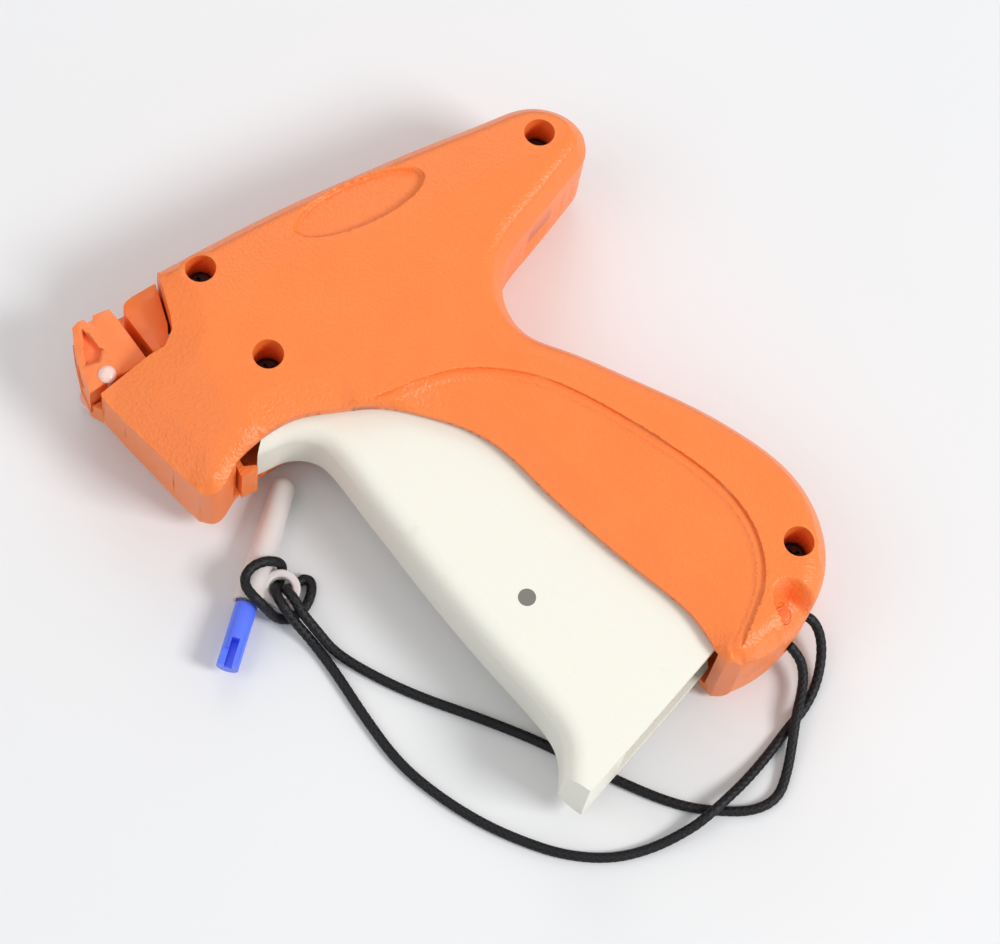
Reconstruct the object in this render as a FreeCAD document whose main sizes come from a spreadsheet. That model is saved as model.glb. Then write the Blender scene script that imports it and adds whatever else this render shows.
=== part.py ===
"""Tag-fastener attaching gun lying on its right side, with its needle parked in a tethered cap.

Millimetres. The muzzle points to -X, the grip to -Y, and the gun's left side faces up (+Z).
Outlines are drawn in a drawing frame; every piece is then shifted by (shift_x, shift_y), which
puts the origin under the middle of the gun.
"""
import FreeCAD
import Part
import math
import os
from FreeCAD import Placement, Rotation, Vector

os.makedirs("parts", exist_ok=True)
doc = FreeCAD.newDocument("TagGun")
sheet = doc.addObject("Spreadsheet::Sheet", "Sizes")

SIZES = {
    "shift_x": 8.05, "shift_y": 0.27,
    "body_width": 28, "mid_plane": 14, "face": 4, "shell_edge": 3, "step_depth": 0.8,
    "oval_depth": 1.2, "scallop_floor": 21, "nose_seat": 10, "nose_top": 20.5,
    "nose_cavity_low": 8, "nose_cavity_high": 20,
    "boss_radius": 4.3, "counterbore_radius": 2.95, "counterbore_floor": 17.5, "screw_hole": 1.5,
    "screw_head": 2.7, "screw_head_height": 1.9, "screw_shank": 1.35, "screw_tip": 6,
    "pin_radius": 1.5, "pin_hole": 1.56, "pin_low": 2.5, "pin_high": 25.5, "pin_socket_low": 2.2,
    "pin_socket_high": 25.8, "post_radius": 1.65, "post_hole": 1.72,
    "trigger_low": 5, "trigger_high": 23, "trigger_wall": 2.3, "trigger_edge": 4,
    "trigger_pin_radius": 1.7, "trigger_pin_hole": 1.72,
    "arm_low": 9, "arm_cheek": 2, "arm_high": 19, "lever_low": 12.5, "lever_thick": 3,
    "carriage_low": 8, "carriage_high": 20, "carriage_slot": 2.2,
    "rod_radius": 0.8, "rod_hole": 0.95, "rod_length": 48, "bore_radius": 2.4,
    "wheel_radius": 5.5, "wheel_low": 11, "wheel_thick": 6, "wheel_teeth": 12,
    "lock_radius": 1.45, "lock_hole": 1.55, "cord_radius": 1,
    "cap_radius": 3, "cap_tip_radius": 2.4, "cap_wall": 0.55, "eyelet_inner": 2.25,
    "eyelet_outer": 3.85, "eyelet_low": 3.2, "eyelet_high": 5.4, "eyelet_edge": 0.5,
    "needle_radius": 0.9, "hub_radius": 2.2, "hub_length": 13.5,
}
for row, (alias, value) in enumerate(SIZES.items(), 1):
    sheet.set("A%d" % row, alias)
    sheet.set("B%d" % row, str(value))
    sheet.setAlias("B%d" % row, alias)
doc.recompute()


def size(alias):
    return float(sheet.get(alias))


# Places in the drawing frame.
TRIGGER_PIVOT = (-33.0, 26.0)
LEVER_PIVOT = (-8.0, 26.0)
TRIGGER_PIN = (-8.8, -26.9)
ARM_PIN = (-3.0, 17.0)
CARRIAGE_PIN = (9.5, 48.0)
WHEEL_AXLE = (-44.5, 33.0)
PAWL_PIVOT = (-40.0, 43.2)
LOCK_PIN = (-60.3, 48.0)
LANYARD_POST = (33.8, -50.6)
BORE_HEIGHT = 52.0
SCREWS = ((-36.1, 57.7), (-32.2, 36.1), (35.8, 55.5), (41.5, -40.5))

pieces = []


# ---- outlines -------------------------------------------------------------------------------

def outline(*parts):
    """Edges of a closed outline; each part is a kind and its points, from where the last ended."""
    edges = []
    for kind, *points in parts:
        places = [Vector(x, y, 0) for x, y in points]
        if kind == "line":
            edges += [Part.LineSegment(a, b) for a, b in zip(places, places[1:])]
        elif kind == "arc":
            edges.append(Part.Arc(*places))
        else:
            curve = Part.BSplineCurve()
            curve.interpolate(places)
            edges.append(curve)
    return edges


def polygon(*points):
    return outline(("line", *points, points[0]))


def circle(centre, radius):
    return [Part.Circle(Vector(centre[0], centre[1], 0), Vector(0, 0, 1), radius)]


def ring_sector(centre, radius, start, end):
    """Arc points at a radius about a centre, as (first, middle, last), angles in degrees."""
    angles = [math.radians(a) for a in (start, (start + end) / 2, end)]
    return [(centre[0] + radius * math.cos(a), centre[1] + radius * math.sin(a)) for a in angles]


BACK = ("curve", (44.6, 52), (43.2, 48.9), (40, 46.7), (33, 43.1), (26, 39.7), (20, 36.3), (16, 31.6),
        (14.4, 26), (15.4, 20.6), (20, 15), (30, 3.2), (38, -7), (44, -16.5), (47.8, -25),
        (49, -32.5), (48, -40), (45, -46.5), (40.5, -51.2), (33, -55), (26, -56.6), (21.5, -56.6))
CROWN = ((-43.4, 62.2), (-30, 63.4), (-15, 64.4), (0, 64.6), (15, 64.5), (30, 64),
         (37, 63.3), (41.5, 60.5), (44.2, 56), (44.6, 52))
LEFT_TOP = ("curve", *CROWN)
RIGHT_TOP = ("curve", (-61, 60.9), (-52, 61.5), *CROWN)
BUTT = ("line", (21.5, -56.6), (18.6, -54.8), (17.8, -51.5))
OPENING = ("curve", (17.8, -51.5), (17.2, -45), (14.3, -37), (10.3, -28), (6.3, -18), (3.2, -9.5),
           (0.3, -0.5), (-3.8, 6.6), (-9.8, 12.6), (-17.8, 18.4), (-25, 21), (-33, 23), (-40.3, 22.2))
NOSE_LOW = ("curve", (-40.3, 22.2), (-44, 21), (-47, 19.6), (-50, 17.4), (-52.5, 16.6), (-55, 18))
NOSE_FRONT = ("line", (-55, 18), (-57.3, 24.3), (-61.8, 38.3), (-63.4, 43.9))
LEFT_NOSE = ("line", (-63.4, 43.9), (-63.2, 44.9), (-52, 46.9), (-48.7, 47), (-46.2, 49.2),
             (-45.3, 52), (-43.4, 62.2))
RIGHT_NOSE = ("line", (-63.4, 43.9), (-65.15, 46), (-64.9, 51), (-63.5, 57.2), (-62.5, 60.2),
              (-61, 60.9))
CAVITY = outline(
    ("curve", (-41.8, 59.9), (-30, 61), (-15, 62), (0, 62.2), (15, 62.1), (30, 61.6), (36.5, 60.9),
     (39.9, 58.6), (41.9, 55), (42.2, 52.2)),
    ("curve", (42.2, 52.2), (41, 50.4), (38.5, 48.6), (32, 45.2), (25, 41.8), (18.6, 38.2),
     (13.8, 32.8), (12, 26), (13.2, 19.6), (18.2, 13.6), (28.2, 1.9), (36, -8.4), (41.8, -17.6),
     (45.4, -25.7), (46.6, -32.6), (45.6, -39.5), (42.9, -45.3), (39, -49.4), (32, -52.7),
     (26, -54.3), (20.5, -54.3)),
    ("line", (20.5, -54.3), (18.9, -52.6), (6, -52.6), (-4, -20), (-14, 4), (-27, 16), (-38, 18.4),
     (-46.4, 17.6), (-46.6, 22.2), (-49, 20.6), (-49, 43.6), (-46.2, 44.6), (-43.9, 47.8),
     (-42.9, 52), (-41.8, 59.9)))
NOSE_CAVITY = polygon((-48, 21.2), (-52.4, 19.3), (-53.6, 20.6), (-57.2, 31.2), (-60.2, 41.3), (-48, 43.7))
STEP = outline(
    ("curve", (-19, 20), (-10, 19.4), (-3, 18.7), (5, 15.5), (12, 10.5), (20, 1), (28, -12),
     (33, -22), (35.3, -32), (34.2, -40), (31, -46)),
    ("line", (31, -46), (22, -54), (17, -60), (-6, -20), (-24, 14), (-19, 20)))
SCALLOP = outline(
    ("line", (31.8, -56.5), (31.7, -49.0)),
    ("arc", (31.7, -49.0), (34.2, -47.7), (36.8, -49.6)),
    ("line", (36.8, -49.6), (38.8, -56.2), (31.8, -56.5)))


# ---- feature helpers ------------------------------------------------------------------------

def new_body(label):
    body = doc.addObject("PartDesign::Body", label)
    body.Label = label
    pieces.append(body)
    return body


def origin_plane(body, role):
    return next(item for item in body.Origin.OriginFeatures if item.Role == role)


def sketch_at(body, edges, height, plane="XY_Plane"):
    sketch = body.newObject("Sketcher::SketchObject", "Outline")
    sketch.AttachmentSupport = [(origin_plane(body, plane), "")]
    sketch.MapMode = "FlatFace"
    sketch.addGeometry(edges, False)
    if height:
        sketch.setExpression("AttachmentOffset.Base.z", height)
    return sketch


def padded(body, edges, low, high):
    pad = body.newObject("PartDesign::Pad", "Pad")
    pad.Profile = sketch_at(body, edges, low)
    pad.setExpression("Length", "%s - (%s)" % (high, low))
    doc.recompute()
    return pad


def pocketed(body, edges, low, high):
    """A pocket cut from height high down to height low."""
    before = body.Shape.Volume
    pocket = body.newObject("PartDesign::Pocket", "Pocket")
    pocket.Profile = sketch_at(body, edges, high)
    pocket.setExpression("Length", "%s - (%s)" % (high, low))
    doc.recompute()
    if body.Shape.Volume > before - 1e-3:
        print("pocket cuts nothing in", body.Label, "from", high, "to", low)
    return pocket


def sloped(body, edges, plane):
    """Takes off a wedge that runs right through the piece, drawn on an upright plane."""
    before = body.Shape.Volume
    pocket = body.newObject("PartDesign::Pocket", "Slope")
    pocket.Profile = sketch_at(body, edges, None, plane)
    pocket.Type = "ThroughAll"
    pocket.Midplane = True
    doc.recompute()
    if body.Shape.Volume > before - 1e-3:
        print("slope cuts nothing in", body.Label)
    return pocket


def rounded(body, alias, wanted):
    """Fillets the edges of the tip that the test picks."""
    base = body.Tip
    names = ["Edge%d" % (i + 1) for i, edge in enumerate(base.Shape.Edges) if wanted(edge.BoundBox)]
    fillet = body.newObject("PartDesign::Fillet", "Fillet")
    fillet.Base = (base, names)
    fillet.setExpression("Radius", "Sizes." + alias)
    doc.recompute()
    if "Invalid" in fillet.State or fillet.Shape.isNull():
        print("fillet failed on", body.Label, names)
        body.removeObject(fillet)
        doc.removeObject(fillet.Name)
        body.Tip = base
        doc.recompute()
    return body.Tip


def plate(label, edges, low, high, cuts=()):
    """A flat piece between two heights, with (outline, low, high) pockets."""
    body = new_body(label)
    padded(body, edges, low, high)
    for cut_edges, cut_low, cut_high in cuts:
        pocketed(body, cut_edges, cut_low, cut_high)
    return body


def cylinder(label, centre, radius, low, high):
    """An upright pin between two heights."""
    pin = doc.addObject("Part::Cylinder", label)
    pin.Label = label
    pin.setExpression("Radius", radius)
    pin.setExpression("Height", "%s - (%s)" % (high, low))
    pin.setExpression("Placement.Base.x", "%s + Sizes.shift_x" % centre[0])
    pin.setExpression("Placement.Base.y", "%s + Sizes.shift_y" % centre[1])
    pin.setExpression("Placement.Base.z", low)
    pieces.append(pin)
    return pin


def solid(label, shape):
    """A piece whose shape is worked out in code from the sheet's sizes."""
    feature = doc.addObject("Part::Feature", label)
    feature.Label = label
    feature.Shape = shape
    pieces.append(feature)
    return feature


def pillar(centre, radius, low, high):
    return Part.makeCylinder(radius, high - low, Vector(centre[0], centre[1], low))


def block(low, high):
    return Part.makeBox(high[0] - low[0], high[1] - low[1], high[2] - low[2], Vector(*low))


# ---- shells ---------------------------------------------------------------------------------

def shell(label, side):
    """One half of the casing; side is +1 for the upper (left) half and -1 for the lower."""
    upper = side > 0
    body = new_body(label)
    top, nose = (LEFT_TOP, LEFT_NOSE) if upper else (RIGHT_TOP, RIGHT_NOSE)
    low, high = ("Sizes.mid_plane", "Sizes.body_width") if upper else ("0", "Sizes.mid_plane")
    padded(body, outline(top, BACK, BUTT, OPENING, NOSE_LOW, NOSE_FRONT, nose), low, high)
    width = size("body_width")
    outer = width if upper else 0
    slope = polygon((-43, outer), (-67, outer - side * 7.3), (-67, outer + side * 2), (-43, outer + side))
    crown = polygon((52, outer), (66, outer - side * 1.9), (66, outer + side * 2), (52, outer + side))

    def outer_edge(box):
        """The long edges of the barrel top and of the back of the grip."""
        on_face = box.ZMin > width - 0.1 if upper else box.ZMax < 0.1
        return on_face and box.XMax > 30 and box.XLength > 30

    rounded(body, "shell_edge", outer_edge)
    sloped(body, slope, "XZ_Plane")
    sloped(body, crown, "YZ_Plane")
    if upper:
        inner_low, inner_high = "Sizes.mid_plane", "Sizes.body_width - Sizes.face"
        nose_low, nose_high = "Sizes.mid_plane", "Sizes.nose_cavity_high"
    else:
        inner_low, inner_high = "Sizes.face", "Sizes.mid_plane"
        nose_low, nose_high = "Sizes.nose_cavity_low", "Sizes.mid_plane"
    pocketed(body, CAVITY, inner_low, inner_high)
    pocketed(body, NOSE_CAVITY, nose_low, nose_high)
    if upper:
        pocketed(body, STEP, "Sizes.body_width - Sizes.step_depth", "Sizes.body_width")
    return body


left_body = shell("left_half", +1)
right_body = shell("right_half", -1)
pieces.clear()

WIDTH = size("body_width")
CEILING = WIDTH - size("face")
FLOOR = size("face")
MID = size("mid_plane")


def inside_posts(side):
    """Screw bosses, carriage rails and lanyard pad of one half."""
    upper = side > 0
    root, tip = (CEILING - 0.5, MID) if upper else (FLOOR - 0.5, MID)
    if upper:
        root = CEILING + 0.5
    low, high = min(root, tip), max(root, tip)
    shapes = [pillar(place, size("boss_radius"), low, high) for place in SCREWS]
    rail_low, rail_high = (16.5, CEILING + 0.5) if upper else (FLOOR - 0.5, 11.5)
    shapes.append(block((-30, 41.9, rail_low), (24, 43.2, rail_high)))
    shapes.append(block((-31, 53.3, rail_low), (24, 54.5, rail_high)))
    if upper:
        shapes.append(pillar((34, -49.6), 5.2, 17, CEILING + 0.5))
    return shapes


def half_holes(side):
    """Everything drilled in one half: screw holes and the sockets of the fixed pins."""
    upper = side > 0
    shapes = []
    for place in SCREWS:
        if upper:
            shapes.append(pillar(place, size("screw_hole"), MID - 1, WIDTH))
            shapes.append(pillar(place, size("counterbore_radius"), size("counterbore_floor"), WIDTH + 1))
        else:
            shapes.append(pillar(place, size("screw_hole"), size("screw_tip") - 0.5, MID + 1))
    low, high = (CEILING - 8, size("pin_socket_high")) if upper else (size("pin_socket_low"), FLOOR + 6)
    for place in (TRIGGER_PIVOT, LEVER_PIVOT, WHEEL_AXLE, PAWL_PIVOT):
        shapes.append(pillar(place, size("pin_hole"), low, high))
    if upper:
        shapes.append(pillar(LANYARD_POST, size("post_hole"), MID - 1, size("scallop_floor") + 0.2))
    else:
        shapes.append(pillar(LANYARD_POST, size("post_hole"), size("pin_socket_low"), MID + 1))
    shapes.append(Part.makeCylinder(size("rod_hole"), 8, Vector(-48, BORE_HEIGHT, MID), Vector(1, 0, 0)))
    shapes.append(block((-52, 45.6, size("nose_seat")), (-44, 47.9, MID + 3.05)))
    return shapes


def oval_recess():
    ellipse = Part.Ellipse(Vector(-2.5, 57.3, 0), 14, 5).toShape()
    face = Part.Face(Part.Wire(ellipse))
    face.rotate(Vector(-2.5, 57.3, 0), Vector(0, 0, 1), 1)
    face.translate(Vector(0, 0, WIDTH - size("oval_depth")))
    return face.extrude(Vector(0, 0, 5))


def prism_of(edges, low, high):
    face = Part.Face(Part.Wire([edge.toShape() for edge in edges]))
    face.translate(Vector(0, 0, low))
    return face.extrude(Vector(0, 0, high - low))


left = left_body.Shape.fuse(inside_posts(+1)).cut(half_holes(+1))
left = left.cut([oval_recess(), prism_of(SCALLOP, size("scallop_floor"), WIDTH + 1)])
solid("left_shell", left.removeSplitter())

right = right_body.Shape.fuse(inside_posts(-1)).cut(half_holes(-1))
NOSE_POCKET = polygon((-67, 45.5), (-52, 46.8), (-46.6, 47.4), (-45.6, 51), (-43.7, 60.2), (-43.2, 63.5),
                      (-67, 63.5))
nose_pocket = prism_of(NOSE_POCKET, size("nose_seat"), MID + 1)
lock_hole = pillar(LOCK_PIN, size("lock_hole"), -1, size("nose_seat") + 1)
cord_notch_a = Part.makeCylinder(1.8, 6, Vector(34.5, -51.8, 8.6), Vector(0.55, -0.8, -0.22))
cord_notch_b = Part.makeCylinder(1.8, 8, Vector(37.5, -48.4, 8.6), Vector(0.85, -0.5, -0.1))
right = right.cut([nose_pocket, lock_hole, cord_notch_a, cord_notch_b])
solid("right_shell", right.removeSplitter())

# ---- nose -----------------------------------------------------------------------------------

NOSE_BLOCK = polygon((-65, 46), (-64.7, 51), (-63.3, 57.1), (-62.4, 59.8), (-60.8, 60.5), (-59.6, 60.5),
                     (-59.2, 59.6), (-58.2, 59.6), (-57.8, 60.5), (-54.2, 60.4), (-53.7, 58.5),
                     (-52.6, 52), (-51.9, 47.5))
TRIANGLE = polygon((-60.7, 58.4), (-59.2, 52.9), (-60.6, 51.4), (-63.2, 51.5))
nose_block = plate("nose_block", NOSE_BLOCK, "Sizes.nose_seat", "Sizes.nose_top",
                   [(TRIANGLE, "Sizes.nose_top - 1.4", "Sizes.nose_top"),
                    (circle(LOCK_PIN, size("lock_hole")), "Sizes.nose_seat", "Sizes.nose_top")])
bore = nose_block.newObject("PartDesign::Pocket", "NeedleBore")
bore.Profile = sketch_at(nose_block, circle((BORE_HEIGHT, MID), size("bore_radius")), None, "YZ_Plane")
bore.Type = "ThroughAll"
bore.Midplane = True

GUIDE = outline(("line", (-49.6, 61), (-43.8, 61.7), (-45.4, 52.5), (-46.9, 48.8), (-50.3, 48.3),
                 (-51, 52), (-52, 57.4)),
                ("arc", (-52, 57.4), (-51.6, 59.9), (-49.6, 61)))
comb_guide = plate("comb_guide", GUIDE, "Sizes.nose_seat", "Sizes.nose_top")
bore = comb_guide.newObject("PartDesign::Pocket", "RodBore")
bore.Profile = sketch_at(comb_guide, circle((BORE_HEIGHT, MID), size("rod_hole")), None, "YZ_Plane")
bore.Type = "ThroughAll"
bore.Midplane = True

KNIFE = polygon((-51.4, 46.4), (-49.6, 47.8), (-44.3, 47.8), (-44.3, 46.2), (-50.6, 46))
plate("knife_blade", KNIFE, "Sizes.mid_plane - 3", "Sizes.mid_plane + 3")
CHUTE = polygon((-46.1, 18.4), (-46.1, 23.6), (-45.2, 23.6), (-44.9, 20.3), (-42.4, 19.4), (-42.7, 18.5))
plate("exit_chute", CHUTE, "Sizes.mid_plane - 6", "Sizes.mid_plane + 6")


def lock_pin():
    """Quarter-turn pin with a domed end on top and a thumb lever underneath."""
    radius = size("lock_radius")
    top = size("nose_top")
    pin = pillar(LOCK_PIN, radius, 2, top + 0.1)
    dome = Part.makeSphere(2.2, Vector(LOCK_PIN[0], LOCK_PIN[1], top + 0.95 - 2.2))
    dome = dome.common(pillar(LOCK_PIN, 1.8, top + 0.04, top + 2))
    lever = pillar(LOCK_PIN, 2.6, 1.5, 3.7)
    arm = block((0, -2.3, 1.5), (4, 2.3, 3.7))
    arm = arm.fuse(pillar((4, 0), 2.3, 1.5, 3.7))
    arm.rotate(Vector(0, 0, 0), Vector(0, 0, 1), 128)
    arm.translate(Vector(LOCK_PIN[0], LOCK_PIN[1], 0))
    return pin.fuse([dome, lever, arm]).removeSplitter()


solid("needle_lock_pin", lock_pin())


# ---- fasteners and fixed pins ---------------------------------------------------------------

def screw(place):
    floor = size("counterbore_floor")
    shank = pillar(place, size("screw_shank"), size("screw_tip"), floor + 0.3)
    head = pillar(place, size("screw_head"), floor, floor + size("screw_head_height"))
    rim = [edge for edge in head.Edges if edge.BoundBox.ZMin > floor + 1 and edge.Closed]
    head = head.makeFillet(0.8, rim)
    cross = block((place[0] - 1.5, place[1] - 0.3, floor + 0.9), (place[0] + 1.5, place[1] + 0.3, floor + 3))
    bar = block((place[0] - 0.3, place[1] - 1.5, floor + 0.9), (place[0] + 0.3, place[1] + 1.5, floor + 3))
    return head.fuse(shank).cut([cross, bar])


solid("case_screws", Part.makeCompound([screw(place) for place in SCREWS]))
cylinder("trigger_pivot_pin", TRIGGER_PIVOT, "Sizes.pin_radius", "Sizes.pin_low", "Sizes.pin_high")
cylinder("lever_pivot_pin", LEVER_PIVOT, "Sizes.pin_radius", "Sizes.pin_low", "Sizes.pin_high")
cylinder("feed_axle", WHEEL_AXLE, "Sizes.pin_radius", "Sizes.pin_low", "Sizes.pin_high")
cylinder("pawl_pivot_pin", PAWL_PIVOT, "Sizes.pin_radius", "Sizes.pin_low", "Sizes.pin_high")
cylinder("lanyard_post", LANYARD_POST, "Sizes.post_radius", "Sizes.pin_low", "Sizes.scallop_floor")


# ---- trigger --------------------------------------------------------------------------------

TRIGGER = outline(
    ("curve", (-36.5, 21.3), (-33, 20.4), (-30, 18), (-28.3, 13.5), (-27, 6), (-25.5, -2), (-23.5, -13),
     (-21, -25), (-18.3, -36), (-15.5, -47), (-14.9, -52.5), (-16.2, -57)),
    ("line", (-16.2, -57), (-18, -60.3), (-15.3, -65.2), (-13, -64.4)),
    ("line", (-13, -64.4), (19.6, -50.7)),
    ("curve", (19.6, -50.7), (20.8, -45), (18.6, -37), (14.6, -28), (10.6, -18), (7.2, -9.5), (4.3, -1),
     (0.5, 6.5), (-5, 12), (-10.5, 15.4), (-17.5, 20.3)),
    ("line", (-17.5, 20.3), ring_sector(TRIGGER_PIVOT, 4.1, 25, 178)[0]),
    ("arc", *ring_sector(TRIGGER_PIVOT, 4.1, 25, 178)),
    ("line", ring_sector(TRIGGER_PIVOT, 4.1, 25, 178)[2], (-41.5, 21.2), (-36.5, 21.3)))
CHANNEL = outline(
    ("curve", (-27, 17.5), (-25.4, 6), (-23.2, -6), (-20.6, -20), (-17.4, -33), (-12.8, -48), (-9, -56.5)),
    ("line", (-9, -56.5), (-4, -64), (24, -54), (25, -40), (12, -5), (2, 9), (-12, 18), (-20, 24),
     (-27, 17.5)))
trigger = plate("trigger", TRIGGER, "Sizes.trigger_low", "Sizes.trigger_high")


def front_edge(box):
    """Edges of the two faces along the finger side and the foot."""
    flat = box.ZLength < 0.01
    return flat and box.XMax < -9 and box.YMin < 30


rounded(trigger, "trigger_edge", lambda box: front_edge(box) and box.YLength > 60)
pocketed(trigger, CHANNEL, "Sizes.trigger_low + Sizes.trigger_wall", "Sizes.trigger_high - Sizes.trigger_wall")
pocketed(trigger, circle(TRIGGER_PIVOT, size("pin_hole")), "Sizes.trigger_low", "Sizes.trigger_high")
pocketed(trigger, circle(TRIGGER_PIN, size("trigger_pin_hole")), "Sizes.trigger_low", "Sizes.trigger_high")

cylinder("trigger_pin", TRIGGER_PIN, "Sizes.trigger_pin_radius", "Sizes.trigger_low", "Sizes.trigger_high")
cylinder("arm_pin", ARM_PIN, "Sizes.pin_radius", "Sizes.arm_low", "Sizes.arm_high")


def link_outline(first, second, radius):
    """Two round ends joined by straight flanks."""
    angle = math.degrees(math.atan2(second[1] - first[1], second[0] - first[0]))
    far = ring_sector(second, radius, angle + 90, angle - 90)
    near = ring_sector(first, radius, angle - 90, angle - 270)
    return outline(("arc", *far), ("line", far[2], near[0]), ("arc", *near), ("line", near[2], far[0]))


arm = plate("connecting_arm", link_outline(TRIGGER_PIN, ARM_PIN, 3.2), "Sizes.arm_low", "Sizes.arm_high",
            [(circle(TRIGGER_PIN, size("trigger_pin_hole")), "Sizes.arm_low", "Sizes.arm_high"),
             (circle(ARM_PIN, size("pin_hole")), "Sizes.arm_low", "Sizes.arm_high"),
             (polygon((-20, -40), (8, -40), (8, -14), (-20, -14)), "Sizes.arm_low + Sizes.arm_cheek",
              "Sizes.arm_high - Sizes.arm_cheek"),
             (polygon((-20, -8), (12, -8), (12, 30), (-20, 30)), "Sizes.arm_low + Sizes.arm_cheek",
              "Sizes.arm_high - Sizes.arm_cheek")])


# ---- drive lever, carriage and push rod -----------------------------------------------------

def slot_outline(centre, angle, near, far, half_width):
    """A round-ended slot that runs out from a centre, between two distances."""
    direction = Vector(math.cos(math.radians(angle)), math.sin(math.radians(angle)), 0)
    first = (centre[0] + near * direction.x, centre[1] + near * direction.y)
    second = (centre[0] + far * direction.x, centre[1] + far * direction.y)
    return link_outline(first, second, half_width)


def out_from(centre, angle, distance):
    return (centre[0] + distance * math.cos(math.radians(angle)),
            centre[1] + distance * math.sin(math.radians(angle)))


UPPER_ANGLE = 51.5
LOWER_ANGLE = -65.2
lever = plate("drive_lever", link_outline(LEVER_PIVOT, out_from(LEVER_PIVOT, UPPER_ANGLE, 29.5), 3.9),
              "Sizes.lever_low", "Sizes.lever_low + Sizes.lever_thick")
padded(lever, link_outline(LEVER_PIVOT, out_from(LEVER_PIVOT, LOWER_ANGLE, 11), 3.9),
       "Sizes.lever_low", "Sizes.lever_low + Sizes.lever_thick")
pocketed(lever, slot_outline(LEVER_PIVOT, UPPER_ANGLE, 21.4, 29.2, 2.65), "Sizes.lever_low",
         "Sizes.lever_low + Sizes.lever_thick")
pocketed(lever, slot_outline(LEVER_PIVOT, LOWER_ANGLE, 6.3, 10.6, 2.45), "Sizes.lever_low",
         "Sizes.lever_low + Sizes.lever_thick")
pocketed(lever, circle(LEVER_PIVOT, size("pin_hole")), "Sizes.lever_low",
         "Sizes.lever_low + Sizes.lever_thick")


def carriage_box(left, right, low, high):
    x = CARRIAGE_PIN[0]
    return polygon((x + left, low), (x + right, low), (x + right, high), (x + left, high))


plate("push_carriage", carriage_box(-11, 11, 43.5, 53), "Sizes.carriage_low", "Sizes.carriage_high",
                 [(carriage_box(-8.5, 8.5, 40, 60), "Sizes.mid_plane - Sizes.carriage_slot",
                   "Sizes.mid_plane + Sizes.carriage_slot"),
                  (circle(CARRIAGE_PIN, size("pin_hole")), "Sizes.carriage_low", "Sizes.carriage_high")])
cylinder("carriage_pin", CARRIAGE_PIN, "Sizes.pin_radius", "Sizes.carriage_low", "Sizes.carriage_high")

rod = doc.addObject("Part::Cylinder", "push_rod")
rod.Label = "push_rod"
rod.setExpression("Radius", "Sizes.rod_radius")
rod.setExpression("Height", "Sizes.rod_length")
rod.Placement = Placement(Vector(0, 0, 0), Rotation(Vector(0, 1, 0), -90))
rod.setExpression("Placement.Base.x", "%s + Sizes.shift_x" % (CARRIAGE_PIN[0] - 11))
rod.setExpression("Placement.Base.y", "%s + Sizes.shift_y" % BORE_HEIGHT)
rod.setExpression("Placement.Base.z", "Sizes.mid_plane")
pieces.append(rod)


# ---- fastener feed --------------------------------------------------------------------------

def centred_wheel(label, radius, depth, low, high, lean):
    """A wheel drawn about the origin, so that its teeth turn about the sketch axis."""
    body = new_body(label)
    padded(body, circle((0, 0), radius), low, high)
    gap = polygon((-0.3 * depth, radius - depth), (0.5 * depth + lean, radius + 1), (-0.9 * depth, radius + 1))
    cut = pocketed(body, gap, low, high)
    pattern = body.newObject("PartDesign::PolarPattern", "Teeth")
    pattern.Originals = [cut]
    pattern.Axis = (cut.Profile[0], ["N_Axis"])
    pattern.Angle = 360
    pattern.setExpression("Occurrences", "Sizes.wheel_teeth")
    body.Tip = pattern
    doc.recompute()
    pocketed(body, circle((0, 0), size("pin_hole")), low, high)
    return body


centred_wheel("feed_wheel", size("wheel_radius"), 1.6, "Sizes.wheel_low",
                      "Sizes.wheel_low + Sizes.wheel_thick", 0)
centred_wheel("feed_ratchet", 5.2, 1.1, "Sizes.wheel_low + Sizes.wheel_thick",
                        "Sizes.wheel_low + Sizes.wheel_thick + 2.4", 0.8)
PAWL = outline(("arc", *ring_sector(PAWL_PIVOT, 2.3, -10, 190)),
               ("line", ring_sector(PAWL_PIVOT, 2.3, -10, 190)[2], (-42.9, 39.0), (-42.2, 38.5),
                (-40.6, 40.4), ring_sector(PAWL_PIVOT, 2.3, -10, 190)[0]))
plate("feed_pawl", PAWL, "Sizes.wheel_low + Sizes.wheel_thick", "Sizes.wheel_low + Sizes.wheel_thick + 2.4",
      [(circle(PAWL_PIVOT, size("pin_hole")), "Sizes.wheel_low + Sizes.wheel_thick",
        "Sizes.wheel_low + Sizes.wheel_thick + 2.4")])
LEAF = polygon((-38.5, 28.5), (-38.1, 28.5), (-38.1, 36.5), (-38.5, 36.5))
plate("detent_leaf", LEAF, "Sizes.face", "Sizes.wheel_low + 4")


# ---- springs --------------------------------------------------------------------------------

def coil(start, end, mean_radius, wire_radius, turns):
    """A helical wire between two points."""
    axis = end - start
    helix = Part.makeHelix(axis.Length / turns, axis.Length, mean_radius)
    section = Part.Wire(Part.makeCircle(wire_radius, Vector(mean_radius, 0, 0), Vector(0, 1, 0)))
    wire = Part.Wire(helix).makePipeShell([section], True, True)
    wire.Placement = Placement(start, Rotation(Vector(0, 0, 1), axis))
    return wire


SPRING_START = Vector(-5.2, -26.4, MID)
SPRING_END = Vector(35.6, -20.7, MID)
solid("return_spring", coil(SPRING_START, SPRING_END, 2.7, 0.35, 12))
SEAT = polygon((36.4, -24.6), (42, -18.4), (39.0, -14.4), (36, -17.6))
plate("spring_seat", SEAT, "Sizes.mid_plane - 4", "Sizes.mid_plane + 4")
solid("pawl_spring", coil(Vector(-40, 43.2, 20.2), Vector(-40, 43.2, 22.6), 2.0, 0.2, 3))


# ---- wrist cord, cap and needle -------------------------------------------------------------

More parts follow.
